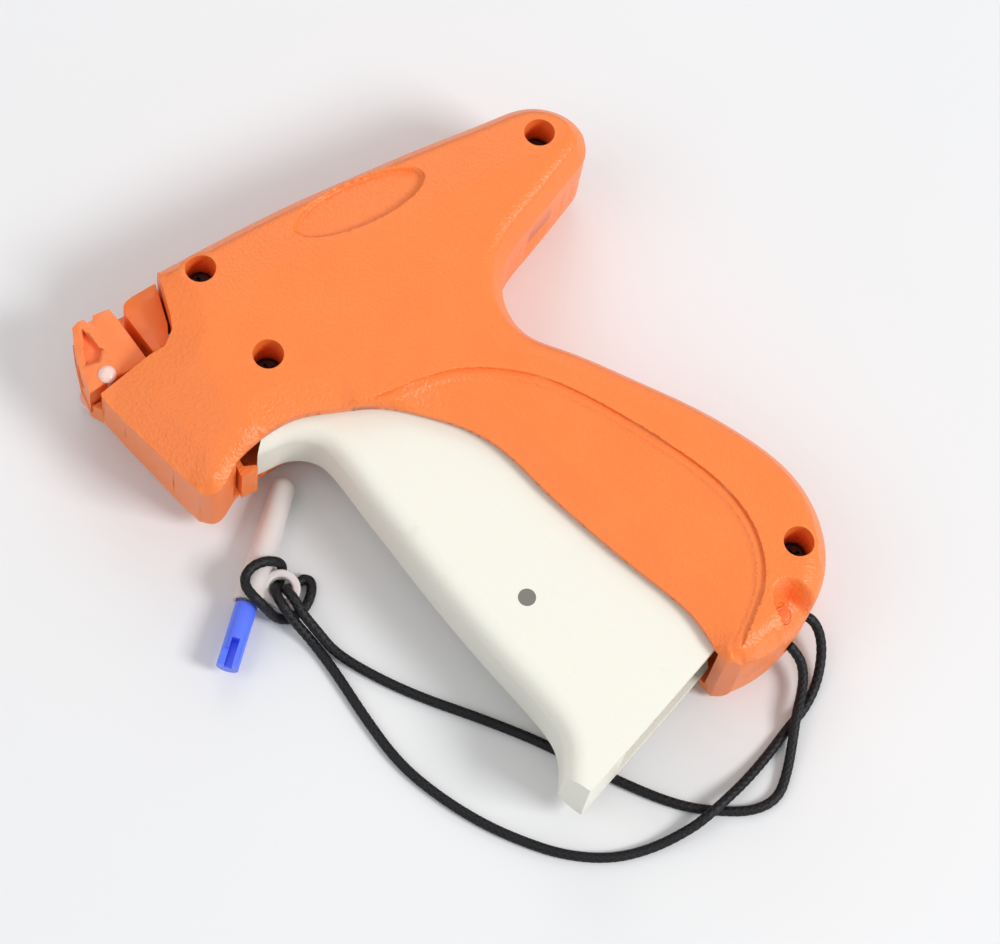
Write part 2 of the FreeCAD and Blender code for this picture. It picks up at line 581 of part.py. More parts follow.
CAP_MOUTH = Vector(-53.7, -0.1, 4.2)
CAP_TIP = Vector(-37.3, 18.2, 2.7)
CAP_AXIS = (CAP_TIP - CAP_MOUTH).normalize()
EYELET = (-46.8, -0.4)


def cone_along(start, axis, length, first, last):
    return Part.makeCone(first, last, length, start, axis)


def needle_cap():
    """Tapered tube with a closed round tip and a flat ring of an eyelet on the side of its mouth."""
    length = (CAP_TIP - CAP_MOUTH).Length
    outside = cone_along(CAP_MOUTH, CAP_AXIS, length, size("cap_radius"), size("cap_tip_radius"))
    outside = outside.fuse(Part.makeSphere(size("cap_tip_radius"), CAP_TIP))
    inner = cone_along(CAP_MOUTH - CAP_AXIS, CAP_AXIS, length + 1, size("cap_radius") - size("cap_wall"),
                       size("cap_tip_radius") - size("cap_wall"))
    low, high = size("eyelet_low"), size("eyelet_high")
    eyelet = pillar(EYELET, size("eyelet_outer"), low, high).cut(pillar(EYELET, size("eyelet_inner"), low, high))
    rims = [edge for edge in eyelet.Edges if edge.Closed and edge.BoundBox.ZLength < 0.01]
    eyelet = eyelet.makeFillet(size("eyelet_edge"), rims)
    whole = outside.fuse(eyelet).cut(inner)
    return whole.removeSplitter()


solid("needle_cap", needle_cap())
NEEDLE_AXIS = CAP_AXIS * -1
HUB_START = CAP_MOUTH + NEEDLE_AXIS * 0.25
tube = Part.makeCylinder(size("needle_radius"), 25, HUB_START + CAP_AXIS * 22, NEEDLE_AXIS)
tube = tube.cut(Part.makeCylinder(size("needle_radius") - 0.3, 26, HUB_START + CAP_AXIS * 22.5, NEEDLE_AXIS))
solid("needle_tube", tube)


def needle_hub():
    """A round plug with a soft inner end and a stepped slot sawn into the top of its outer end."""
    radius, length = size("hub_radius"), size("hub_length")
    plug = Part.makeCylinder(radius, length, Vector(0, 0, 0), Vector(1, 0, 0))
    rim = [edge for edge in plug.Edges if edge.Closed and edge.BoundBox.XMax < 0.1]
    plug = plug.makeFillet(0.5, rim)
    needle_hole = Part.makeCylinder(size("needle_radius") + 0.02, 3, Vector(0, 0, 0), Vector(1, 0, 0))
    slot = block((length - 5.6, -0.7, 0.1), (length + 1, 0.9, 3))
    step = block((length - 3.4, -3, 1.3), (length + 1, 0, 3))
    plug = plug.cut([needle_hole, slot, step])
    plug.rotate(Vector(0, 0, 0), Vector(0, 1, 0), -math.degrees(math.asin(NEEDLE_AXIS.z)))
    plug.rotate(Vector(0, 0, 0), Vector(0, 0, 1), math.degrees(math.atan2(NEEDLE_AXIS.y, NEEDLE_AXIS.x)))
    plug.translate(HUB_START)
    return plug


solid("needle_hub", needle_hub())


# The cord leaves the grip beside its post, loops out and back through the eyelet and ends at the post.
CORD_ROUTE = (
    (35.4, -53.5, 8.6), (36.9, -56.2, 6.4), (36.6, -59.2, 4.1), (34.6, -62.3, 3.3), (31.6, -65.6, 3.4),
    (28.8, -69.6, 2.4), (25.4, -74.2, 1.2), (21.2, -78.3, 1.0), (15.6, -78.4, 1.0), (9.6, -75.5, 1.0),
    (4, -71.8, 1.0), (-1.6, -66, 1.0), (-8.7, -57, 1.0), (-14.6, -48.8, 1.0), (-22.8, -39.6, 1.0),
    (-31.8, -30.4, 1.0), (-38, -22.6, 1.0), (-42.5, -15.6, 1.4), (-44, -10.6, 3.3), (-45.2, -6.9, 5.0),
    (-45.6, -4, 6.7), (-46.1, -1.7, 6.5), (-45.9, -0.7, 4.3), (-45.5, -0.5, 2.2), (-43.9, -0.1, 1.3),
    (-42.4, 0.4, 1.0), (-40.9, 0.4, 1.0), (-40.3, -0.9, 1.0), (-41.2, -2.7, 1.0), (-43.2, -4.7, 1.0),
    (-45.7, -5.5, 1.0), (-48, -5.6, 1.0), (-50, -4.5, 2.4), (-51.4, -2.9, 6.5), (-52.6, -0.7, 8.3),
    (-53.2, 1.8, 8.2), (-52.4, 3.9, 8.0), (-50.2, 5.1, 8.0), (-47.5, 5.1, 7.6), (-45.3, 4.5, 6.1),
    (-44.3, 4.1, 3.7), (-44.6, 3.3, 1.6), (-45.7, 2, 1.2), (-46.9, 0.9, 2.1), (-47.7, 0.2, 4.2),
    (-48.1, -0.9, 6.1), (-48.3, -2.9, 6.7), (-48, -5.1, 6.2), (-47.1, -7.5, 4.0), (-45.3, -12, 1.1),
    (-44, -19.4, 1.0), (-43, -29.4, 1.0), (-41.2, -40.4, 1.0), (-37.2, -49.6, 1.0), (-32.2, -57.8, 1.0),
    (-26.6, -64.6, 1.0), (-20.6, -70.4, 1.0), (-13, -74.8, 1.0), (-5, -76.4, 1.0), (2.6, -76.4, 2.2),
    (6.6, -75.8, 3.3), (11.6, -74.4, 3.3), (17, -72.6, 1.8), (23.6, -69.8, 1.0), (29.6, -66.8, 1.0),
    (34.2, -64.9, 1.0), (38.4, -61.8, 1.6), (41.6, -57.6, 3.6), (42.9, -53.8, 6.0), (42.1, -50.6, 8.4),
    (39, -48.6, 8.8), (36.6, -48, 8.8))


def cord_path(route):
    """Straight runs joined by tangent arcs; each arc takes 0.45 of its shorter run."""
    points = [Vector(*place) for place in route]
    edges = []
    radii = []
    start = points[0]
    for before, corner, after in zip(points, points[1:], points[2:]):
        to_before = (before - corner).normalize()
        to_after = (after - corner).normalize()
        reach = 0.45 * min((before - corner).Length, (after - corner).Length)
        half_turn = (math.pi - to_before.getAngle(to_after)) / 2
        radius = reach / math.tan(half_turn)
        radii.append(round(radius, 1))
        first = corner + to_before * reach
        last = corner + to_after * reach
        inward = (to_before + to_after).normalize()
        middle = corner + inward * (math.hypot(radius, reach) - radius)
        edges.append(Part.LineSegment(start, first).toShape())
        edges.append(Part.Arc(first, middle, last).toShape())
        start = last
    edges.append(Part.LineSegment(start, points[-1]).toShape())
    return Part.Wire(edges), radii


def cord():
    path, radii = cord_path(CORD_ROUTE)
    radius = size("cord_radius")
    start = Vector(*CORD_ROUTE[0])
    section = Part.Wire(Part.makeCircle(radius, start, Vector(*CORD_ROUTE[1]) - start))
    tube = path.makePipeShell([section], True, False)
    print("cord radii", radii)
    print("cord length", round(path.Length, 1), "volume ratio",
          round(tube.Volume / (math.pi * radius ** 2 * path.Length), 4))
    return tube


solid("wrist_cord", cord())

for piece in pieces:
    if piece.TypeId in ("PartDesign::Body", "Part::Feature"):
        at = Vector(size("shift_x"), size("shift_y"), 0)
        if piece.Label in ("feed_wheel", "feed_ratchet"):
            at = at + Vector(WHEEL_AXLE[0], WHEEL_AXLE[1], 0)
        piece.Placement = Placement(at, Rotation()) * piece.Placement
doc.recompute()

failed = [item.Label for item in doc.Objects if "Invalid" in item.State or "Error" in item.State]
for piece in pieces:
    if piece.Shape.isNull() or not piece.Shape.isValid():
        failed.append(piece.Label)
if failed:
    raise RuntimeError("failed: " + ", ".join(failed))
for piece in pieces:
    piece.Shape.exportStep("parts/%s.step" % piece.Label)
    print(piece.Label, round(piece.Shape.Volume, 1), len(piece.Shape.Solids))
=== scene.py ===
"""Looks of the tag-fastener gun: finishes for its moulded and metal parts, its braided wrist cord,
and the table, lights and camera around it. Metres throughout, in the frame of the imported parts.
"""

import math

import bmesh
import bpy
import numpy as np
from mathutils import Matrix, Vector
from mathutils.geometry import delaunay_2d_cdt


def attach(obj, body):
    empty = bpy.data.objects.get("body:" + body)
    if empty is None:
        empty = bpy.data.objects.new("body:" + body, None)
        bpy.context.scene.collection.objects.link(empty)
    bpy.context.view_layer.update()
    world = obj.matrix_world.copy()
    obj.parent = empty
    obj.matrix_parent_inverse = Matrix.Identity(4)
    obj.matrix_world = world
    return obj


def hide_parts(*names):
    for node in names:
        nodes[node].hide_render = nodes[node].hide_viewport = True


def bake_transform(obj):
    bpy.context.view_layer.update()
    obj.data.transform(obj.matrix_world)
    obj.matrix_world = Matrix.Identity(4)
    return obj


MM = 0.001
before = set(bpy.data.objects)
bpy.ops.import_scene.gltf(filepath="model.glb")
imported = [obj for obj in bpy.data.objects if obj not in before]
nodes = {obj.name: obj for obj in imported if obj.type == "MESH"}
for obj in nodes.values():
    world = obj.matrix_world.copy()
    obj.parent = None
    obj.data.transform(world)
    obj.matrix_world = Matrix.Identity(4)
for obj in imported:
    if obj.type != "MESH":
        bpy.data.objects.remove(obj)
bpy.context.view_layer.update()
# The outlines below are drawn about the same origin as the part's own drawing, then moved by this.
SHIFT = np.array([8.05, 0.27, 0.0])


# ---- camera and cord ------------------------------------------------------------------------

def place_camera():
    camera_data = bpy.data.cameras.new("camera")
    camera_data.lens = 126
    camera_data.sensor_width = 36
    camera_data.clip_start = 0.01
    camera = bpy.data.objects.new("camera", camera_data)
    bpy.context.collection.objects.link(camera)
    camera.location = (-0.13765, -0.17793, 0.6465)
    target = Vector((0.00805, 0.00027, 0.014))
    forward = (target - camera.location).normalized()
    up_hint = Vector((0.405, 0.851, 0.333))
    right = forward.cross(up_hint).normalized()
    up = right.cross(forward)
    camera.matrix_world = matrix_of(right, up, -forward, camera.location)
    bpy.context.scene.camera = camera


def matrix_of(x_axis, y_axis, z_axis, place):
    return Matrix([[x_axis[i], y_axis[i], z_axis[i], place[i]] for i in range(3)] + [[0, 0, 0, 1]])


place_camera()

# The wrist cord, in the drawing's millimetres: out of the grip beside its post, round the table, through
# the cap's eyelet in a bight, and back to the post.
CORD_ROUTE = (
    (35.4, -53.5, 8.6), (36.9, -56.2, 6.4), (36.6, -59.2, 4.1), (34.6, -62.3, 3.3), (31.6, -65.6, 3.4),
    (28.8, -69.6, 2.4), (25.4, -74.2, 1.2), (21.2, -78.3, 1.0), (15.6, -78.4, 1.0), (9.6, -75.5, 1.0),
    (4, -71.8, 1.0), (-1.6, -66, 1.0), (-8.7, -57, 1.0), (-14.6, -48.8, 1.0), (-22.8, -39.6, 1.0),
    (-31.8, -30.4, 1.0), (-38, -22.6, 1.0), (-42.5, -15.6, 1.4), (-44, -10.6, 3.3), (-45.2, -6.9, 5.0),
    (-45.6, -4, 6.7), (-46.1, -1.7, 6.5), (-45.9, -0.7, 4.3), (-45.5, -0.5, 2.2), (-43.9, -0.1, 1.3),
    (-42.4, 0.4, 1.0), (-40.9, 0.4, 1.0), (-40.3, -0.9, 1.0), (-41.2, -2.7, 1.0), (-43.2, -4.7, 1.0),
    (-45.7, -5.5, 1.0), (-48, -5.6, 1.0), (-50, -4.5, 2.4), (-51.4, -2.9, 6.5), (-52.6, -0.7, 8.3),
    (-53.2, 1.8, 8.2), (-52.4, 3.9, 8.0), (-50.2, 5.1, 8.0), (-47.5, 5.1, 7.6), (-45.3, 4.5, 6.1),
    (-44.3, 4.1, 3.7), (-44.6, 3.3, 1.6), (-45.7, 2, 1.2), (-46.9, 0.9, 2.1), (-47.7, 0.2, 4.2),
    (-48.1, -0.9, 6.1), (-48.3, -2.9, 6.7), (-48, -5.1, 6.2), (-47.1, -7.5, 4.0), (-45.3, -12, 1.1),
    (-44, -19.4, 1.0), (-43, -29.4, 1.0), (-41.2, -40.4, 1.0), (-37.2, -49.6, 1.0), (-32.2, -57.8, 1.0),
    (-26.6, -64.6, 1.0), (-20.6, -70.4, 1.0), (-13, -74.8, 1.0), (-5, -76.4, 1.0), (2.6, -76.4, 2.2),
    (6.6, -75.8, 3.3), (11.6, -74.4, 3.3), (17, -72.6, 1.8), (23.6, -69.8, 1.0), (29.6, -66.8, 1.0),
    (34.2, -64.9, 1.0), (38.4, -61.8, 1.6), (41.6, -57.6, 3.6), (42.9, -53.8, 6.0), (42.1, -50.6, 8.4),
    (39, -48.6, 8.8), (36.6, -48, 8.8)
)
CORD_RADIUS = 1.0 * MM


def route_points():
    """Points along the cord's centreline, read from one open NURBS spline through its route."""
    curve = bpy.data.curves.new("cord_line", "CURVE")
    curve.dimensions = "3D"
    curve.resolution_u = 10
    spline = curve.splines.new("NURBS")
    spline.points.add(len(CORD_ROUTE) - 1)
    for point, place in zip(spline.points, CORD_ROUTE):
        point.co = (*((np.array(place) + SHIFT) * MM), 1)
    spline.order_u = 3
    spline.use_endpoint_u = True
    line = bpy.data.objects.new("cord_line", curve)
    bpy.context.collection.objects.link(line)
    bpy.context.view_layer.update()
    flat = bpy.data.meshes.new_from_object(line)
    points = np.empty(len(flat.vertices) * 3)
    flat.vertices.foreach_get("co", points)
    bpy.data.objects.remove(line)
    bpy.data.meshes.remove(flat)
    return points.reshape(-1, 3)


# ---- surfaces -------------------------------------------------------------------------------

def grid_faces(rows, columns, closed_columns):
    """Quads of a grid of rows x columns points, wrapped round in the second direction if closed."""
    across = columns if closed_columns else columns - 1
    r, c = np.meshgrid(np.arange(rows - 1), np.arange(across), indexing="ij")
    nxt = (c + 1) % columns
    quads = np.stack([r * columns + c, r * columns + nxt, (r + 1) * columns + nxt, (r + 1) * columns + c], -1)
    return quads.reshape(-1, 4)


def mesh_piece(name, points, faces, finish, smooth=True):
    """A mesh object from arrays of points in metres and faces of point numbers."""
    mesh = bpy.data.meshes.new(name)
    mesh.from_pydata(points.tolist(), [], [list(f) for f in faces])
    mesh.update()
    mesh.shade_smooth() if smooth else None
    piece = bpy.data.objects.new(name, mesh)
    bpy.context.collection.objects.link(piece)
    piece.data.materials.append(finish)
    return piece


def frames_along(path):
    """Tangents, and two crosswise directions that are carried along the path without twisting."""
    tangents = np.gradient(path, axis=0)
    tangents /= np.linalg.norm(tangents, axis=1)[:, None]
    side = np.empty_like(path)
    first = np.cross(tangents[0], [0.0, 0.0, 1.0])
    side[0] = first / np.linalg.norm(first)
    for i in range(1, len(path)):
        carried = side[i - 1] - tangents[i] * (side[i - 1] @ tangents[i])
        side[i] = carried / np.linalg.norm(carried)
    return tangents, side, np.cross(tangents, side)


def evenly(path, step):
    """The path's points spaced evenly by about a step, with each point's distance along it."""
    along = np.concatenate([[0], np.cumsum(np.linalg.norm(np.diff(path, axis=0), axis=1))])
    keep = np.concatenate([[True], np.diff(along) > 1e-7])
    along, path = along[keep], path[keep]
    stops = np.linspace(0, along[-1], int(along[-1] / step) + 1)
    return np.stack([np.interp(stops, along, path[:, k]) for k in range(3)], -1), stops


# ---- finishes -------------------------------------------------------------------------------

class Wire:
    """A socket of a node, written in sums and products that add Math nodes."""

    def __init__(self, finish, socket):
        self.finish, self.socket = finish, socket

    def _math(self, operation, *values):
        return self.finish.node("ShaderNodeMath", {"operation": operation}, dict(enumerate(values)))[0]

    def __add__(self, other):
        return self._math("ADD", self, other)

    __radd__ = __add__

    def __mul__(self, other):
        return self._math("MULTIPLY", self, other)

    __rmul__ = __mul__

    def __sub__(self, other):
        return self._math("SUBTRACT", self, other)

    def __rsub__(self, other):
        return self._math("SUBTRACT", other, self)

    def between(self, low, high):
        """0 below low, 1 above high, and smooth between them."""
        settings = {"interpolation_type": "SMOOTHSTEP"}
        return self.finish.node("ShaderNodeMapRange", settings, {0: self, 1: low, 2: high})[0]


class Outputs:
    """A node's outputs, wrapped when they are asked for by name or number."""

    def __init__(self, finish, node):
        self.finish, self.node = finish, node

    def __getitem__(self, key):
        return Wire(self.finish, self.node.outputs[key])


class Finish:
    """A material under construction: a Principled shader and the nodes that feed it."""

    def __init__(self, name, **sockets):
        self.material = bpy.data.materials.new(name)
        self.material.use_nodes = True
        self.nodes = self.material.node_tree.nodes
        self.shader = self.nodes["Principled BSDF"]
        self.coordinates = self.node("ShaderNodeTexCoord", {}, {})["Object"]
        for name, value in sockets.items():
            self.shader.inputs[name.replace("_", " ")].default_value = value

    def node(self, kind, settings, inputs):
        """Adds a node: its settings first, then the values or links of its sockets."""
        made = self.nodes.new(kind)
        for key, value in settings.items():
            if key == "stops":
                for place, colour in value:
                    made.color_ramp.elements.new(place).color = colour
                made.color_ramp.elements.remove(made.color_ramp.elements[-1])
                made.color_ramp.elements.remove(made.color_ramp.elements[0])
            else:
                setattr(made, key, value)
        for key, value in inputs.items():
            self.feed(made.inputs[key], value)
        return Outputs(self, made)

    def feed(self, socket, value):
        if isinstance(value, Wire):
            self.material.node_tree.links.new(value.socket, socket)
        else:
            socket.default_value = value

    def noise(self, size, detail=2.0, roughness=0.5):
        """Soft random values, with lumps about as large as the size in metres."""
        return self.node("ShaderNodeTexNoise", {}, {"Vector": self.coordinates, "Scale": 1 / size,
                                                    "Detail": detail, "Roughness": roughness})[0]

    def cells(self, size, feature="SMOOTH_F1"):
        """Distance to the nearest of scattered points that lie about the size apart, in metres."""
        inputs = {"Vector": self.coordinates, "Scale": 1 / size}
        return self.node("ShaderNodeTexVoronoi", {"feature": feature}, inputs)["Distance"]

    def mix(self, share, first, second):
        inputs = {0: share, 6: first, 7: second}
        return self.node("ShaderNodeMix", {"data_type": "RGBA"}, inputs)[2]

    def set(self, **sockets):
        for name, value in sockets.items():
            self.feed(self.shader.inputs[name.replace("_", " ")], value)
        return self.material

    def bumped(self, height, depth, strength=1.0):
        """Raises the surface by the height times a depth in metres."""
        bump = self.node("ShaderNodeBump", {}, {"Height": height, "Distance": depth, "Strength": strength})
        self.set(Normal=bump[0])


def colour(red, green, blue):
    """Linear light from screen values of 0 to 255."""
    screen = np.array([red, green, blue]) / 255
    linear = np.where(screen <= 0.04045, screen / 12.92, ((screen + 0.055) / 1.055) ** 2.4)
    return (*linear.tolist(), 1.0)


def orange_shell():
    """Orange moulding with a leather grain."""
    made = Finish("orange_shell", Subsurface_Weight=0.12, Subsurface_Scale=0.0015)
    made.shader.inputs["Subsurface Radius"].default_value = (1.0, 0.35, 0.1)
    patches = made.noise(12 * MM)
    grain = made.cells(0.55 * MM) + 0.4 * made.noise(0.25 * MM)
    made.bumped(grain, 0.13 * MM)
    made.set(Base_Color=made.mix(patches, colour(250, 128, 56), colour(254, 136, 65)),
             Roughness=0.33 + 0.08 * patches)
    return made.material


def smooth_orange(name, red, green, blue):
    """Orange moulding without grain, as on the nose block and inside."""
    made = Finish(name, Subsurface_Weight=0.15, Subsurface_Scale=0.0015)
    made.shader.inputs["Subsurface Radius"].default_value = (1.0, 0.35, 0.1)
    made.bumped(made.noise(3 * MM), 0.02 * MM)
    made.set(Base_Color=colour(red, green, blue), Roughness=0.33 + 0.12 * made.noise(1.2 * MM))
    return made.material


def cream_trigger():
    """Off-white moulding with fine specks and a few rubbed marks."""
    made = Finish("cream_trigger", Subsurface_Weight=0.1, Subsurface_Scale=0.001)
    rubbed = made.noise(9 * MM, 4).between(0.62, 0.8)
    specks = made.cells(1.6 * MM, "F1").between(0.06, 0.03)
    shade = made.mix(rubbed, colour(240, 238, 226), colour(232, 228, 214))
    made.bumped(made.noise(0.5 * MM, 3), 0.012 * MM)
    made.set(Base_Color=made.mix(0.35 * specks, shade, colour(150, 130, 100)), Roughness=0.42 + 0.15 * rubbed)
    return made.material


def plain(name, rgb, roughness, grain=0.0, **sockets):
    """A moulding or metal of one colour with a little unevenness in its gloss."""
    made = Finish(name, **sockets)
    uneven = made.noise(0.8 * MM, 3)
    if grain:
        made.bumped(uneven, grain)
    made.set(Base_Color=colour(*rgb), Roughness=roughness + 0.15 * (uneven - 0.5))
    return made.material


def clear_plastic(name, rgb, roughness, share, ior=1.5):
    """A milky or tinted plastic that lets part of the light through."""
    made = Finish(name, IOR=ior, Transmission_Weight=share, Subsurface_Weight=0.2, Subsurface_Scale=0.001)
    cloud = made.noise(4 * MM)
    made.set(Base_Color=colour(*rgb), Roughness=roughness + 0.08 * (cloud - 0.5))
    return made.material


def black_cord():
    """Black polyester braid, with painted sheen: the strands' tops are painted lighter grey and the grooves
    between them darker, as painted shade.
    """
    made = Finish("black_cord", Specular_IOR_Level=0.3)
    stand = made.node("ShaderNodeAttribute", {"attribute_name": "stand"}, {})["Fac"]
    fibres = made.noise(0.12 * MM, 2)
    made.bumped(fibres, 0.01 * MM)
    # Painted sheen and shade: lighter where a point stands high on its strand, near black in the grooves,
    # with a random fibre tone mixed in.
    shade = stand.between(0.25, 1.0) * (0.5 + 0.7 * fibres)
    made.set(Base_Color=made.mix(shade, colour(2, 2, 3), colour(30, 30, 34)), Roughness=0.5)
    return made.material


ORANGE = orange_shell()
FINISHES = {
    "left_shell": ORANGE,
    "right_shell": ORANGE,
    "nose_block": smooth_orange("nose_orange", 253, 136, 74),
    "comb_guide": smooth_orange("guide_orange", 252, 124, 52),
    "trigger": cream_trigger(),
    "needle_cap": clear_plastic("milky_cap", (252, 240, 238), 0.3, 0.3),
    "needle_lock_pin": clear_plastic("clear_lock", (250, 214, 204), 0.22, 0.0),
    "needle_hub": clear_plastic("blue_hub", (92, 122, 255), 0.26, 0.0),
    "wrist_cord": black_cord(),
}
STEEL = plain("pin_steel", (150, 146, 138), 0.5, 0.02 * MM, Metallic=0.9)
DARK_STEEL = plain("screw_steel", (70, 60, 56), 0.45, 0.01 * MM, Metallic=0.9)
BRIGHT_STEEL = plain("bright_steel", (200, 202, 205), 0.25, Metallic=1.0)
NYLON = plain("white_nylon", (236, 234, 226), 0.42, 0.01 * MM, Subsurface_Weight=0.1)
for label, finish in {
        "exit_chute": ORANGE, "trigger_pin": STEEL, "case_screws": DARK_STEEL, "lanyard_post": ORANGE,
        "knife_blade": BRIGHT_STEEL,
        "needle_tube": BRIGHT_STEEL, "push_rod": BRIGHT_STEEL, "return_spring": BRIGHT_STEEL,
        "pawl_spring": BRIGHT_STEEL, "detent_leaf": BRIGHT_STEEL}.items():
    FINISHES[label] = finish
for label, node in nodes.items():
    finish = FINISHES.get(label, STEEL if label.endswith("_pin") or label == "feed_axle" else NYLON)
    for material_slot in node.material_slots:
        material_slot.material = finish


# ---- soft-edged mouldings -------------------------------------------------------------------

def through(points, step=0.35):
    """Points about a step apart on the smooth curve through the given ones.

    The curve is a cubic spline over chord length, whose bend is nil at its two ends.
    """
    given = np.array(points, float)
    chord = np.concatenate([[0], np.cumsum(np.linalg.norm(np.diff(given, axis=0), axis=1))])
    gap = np.diff(chord)[:, None]
    count = len(given)
    matrix = np.eye(count)
    known = np.zeros_like(given)
    slope = np.diff(given, axis=0) / gap
    inner = np.arange(1, count - 1)
    matrix[inner, inner - 1] = gap[:-1, 0]
    matrix[inner, inner] = 2 * (gap[:-1, 0] + gap[1:, 0])
    matrix[inner, inner + 1] = gap[1:, 0]
    known[1:-1] = 6 * np.diff(slope, axis=0)
    bend = np.linalg.solve(matrix, known)
    at = np.linspace(0, chord[-1], max(2, int(chord[-1] / step) + 1))
    k = np.clip(np.searchsorted(chord, at, "right") - 1, 0, count - 2)
    t, h = (at - chord[k])[:, None], gap[k]
    return (given[k] + t * (slope[k] - h * (2 * bend[k] + bend[k + 1]) / 6) + t ** 2 * bend[k] / 2
            + t ** 3 * (bend[k + 1] - bend[k]) / (6 * h))


def straight(points, step=0.35):
    """Points about a step apart along straight runs, with every corner kept."""
    corners = np.array(points, float)
    runs = [np.linspace(a, b, max(2, int(np.linalg.norm(b - a) / step) + 1))[:-1]
            for a, b in zip(corners, corners[1:])]
    return np.concatenate(runs + [corners[-1:]])


def distance_to(line, places):
    """Distance from each place to the nearest point of a line of short segments."""
    start, run = line[:-1], np.diff(line, axis=0)
    length = np.maximum((run ** 2).sum(1), 1e-12)
    nearest = np.empty(len(places))
    for first in range(0, len(places), 2000):
        part = places[first:first + 2000, None] - start[None]
        share = np.clip((part * run).sum(-1) / length, 0, 1)
        nearest[first:first + 2000] = np.sqrt(((part - share[..., None] * run) ** 2).sum(-1).min(1))
    return nearest


def inside(loop, places):
    """True where a place lies within a closed loop, by counting the sides that a ray crosses."""
    a, b = loop, np.roll(loop, -1, axis=0)
    odd = np.zeros(len(places), bool)
    for first in range(0, len(places), 2000):
        x, y = places[first:first + 2000, 0:1], places[first:first + 2000, 1:2]
        crosses = (a[:, 1] > y) != (b[:, 1] > y)
        rise = np.where(b[:, 1] == a[:, 1], 1e-12, b[:, 1] - a[:, 1])
        reach = a[:, 0] + (y - a[:, 1]) * (b[:, 0] - a[:, 0]) / rise
        odd[first:first + 2000] = (crosses & (x < reach)).sum(1) % 2 == 1
    return odd


def smooth_step(value):
    value = np.clip(value, 0, 1)
    return value * value * (3 - 2 * value)


def fillet_drop(distance, radius):
    """How far a rounded edge lies below its flat face, at a distance in from the outline."""
    short = np.clip(radius - np.maximum(distance, 0), 0, radius)
    return radius - np.sqrt(radius ** 2 - short ** 2)


def fine_places(low, high, step):
    """A square grid of places between two corners."""
    gx, gy = np.meshgrid(np.arange(low[0], high[0], step), np.arange(low[1], high[1], step))
    return np.stack([gx.ravel(), gy.ravel()], -1)


SKIN = 0.16
FILLET_ANGLES = (8, 18, 30, 42, 54, 66, 78, 90)


def soft_form(name, sections, low, high, lower=None, upper=None, extra=None):
    """A closed solid in drawing millimetres whose flat faces roll over to its outline, a skin's depth in.

    Sections are (points, radius) runs of the closed outline. A face with a function, lower or upper, has at a
    place the height of its level, less the fourth-power sum of the fillet drops of all sections there, less
    the further drop that the function gives; a face without one stays flat at its level. Extra is more places
    at which to work the faces out.
    """
    loop = np.concatenate([points[:-1] for points, _ in sections])
    along = np.roll(loop, -1, axis=0) - np.roll(loop, 1, axis=0)
    inward = np.stack([-along[:, 1], along[:, 0]], -1) / np.linalg.norm(along, axis=1)[:, None]
    if inside(loop, loop + 0.05 * inward).mean() < 0.5:
        inward = -inward
    loop = loop + SKIN * inward
    closed = np.vstack([loop, loop[:1]])
    kept = [] if extra is None else [extra]
    for points, radius in sections:
        along = np.gradient(points, axis=0)
        turned = np.stack([-along[:, 1], along[:, 0]], -1) / np.linalg.norm(along, axis=1)[:, None]
        if inside(loop, points + 0.05 * turned).mean() < 0.5:
            turned = -turned
        for angle in FILLET_ANGLES:
            ring = SKIN + radius * (1 - math.cos(math.radians(angle)))
            ringed = points + ring * turned
            kept.append(ringed[distance_to(closed, ringed) > 0.93 * ring])
    deepest = max(radius for _, radius in sections)
    grid = fine_places(loop.min(0), loop.max(0), 1.1)
    kept.append(grid[distance_to(closed, grid) > deepest + 0.4])
    inner = np.concatenate(kept)
    inner = inner[inside(loop, inner)]
    inner = inner[distance_to(closed, inner) > 0.02]
    inner = inner[np.unique(np.round(inner / 0.12).astype(int), axis=0, return_index=True)[1]]
    flat = np.concatenate([loop, inner])
    edges = [(i, (i + 1) % len(loop)) for i in range(len(loop))]
    made = delaunay_2d_cdt([Vector(p) for p in flat.tolist()], edges, [], 1, 1e-6)
    flat = np.array([tuple(p) for p in made[0]])
    triangles = np.array(made[2])
    middles = flat[triangles].mean(1)
    triangles = triangles[inside(loop, middles)]
    border = {}
    for place, origin in enumerate(made[3]):
        for index in origin:
            if index < len(loop):
                border[index] = place
    ring = np.array([border[i] for i in range(len(loop))])
    drops = [fillet_drop(distance_to(points, flat) - SKIN, radius) for points, radius in sections]
    drop = sum(each ** 4 for each in drops) ** 0.25
    tops = np.full(len(flat), float(high))
    bottoms = np.full(len(flat), float(low))
    if upper is not None:
        tops -= drop + upper(flat)
    if lower is not None:
        bottoms += drop + lower(flat)
    count = len(flat)
    points = np.concatenate([np.column_stack([flat, tops]), np.column_stack([flat, bottoms])])
    first, second, third = (flat[triangles[:, corner]] for corner in range(3))
    wound = np.cross(second - first, third - first)
    triangles[wound < 0] = triangles[wound < 0][:, ::-1]
    after = np.roll(ring, -1)
    area = (flat[ring][:, 0] * flat[after][:, 1] - flat[after][:, 0] * flat[ring][:, 1]).sum()
    if area < 0:
        ring, after = after, ring
    walls = np.column_stack([ring + count, after + count, after, ring])
    faces = triangles.tolist() + (triangles[:, ::-1] + count).tolist() + walls.tolist()
    points[:, :2] += SHIFT[:2]
    mesh = bpy.data.meshes.new(name)
    mesh.from_pydata((points * MM).tolist(), [], faces)
    mesh.update()
    form = bpy.data.objects.new(name, mesh)
    bpy.context.collection.objects.link(form)
    return form


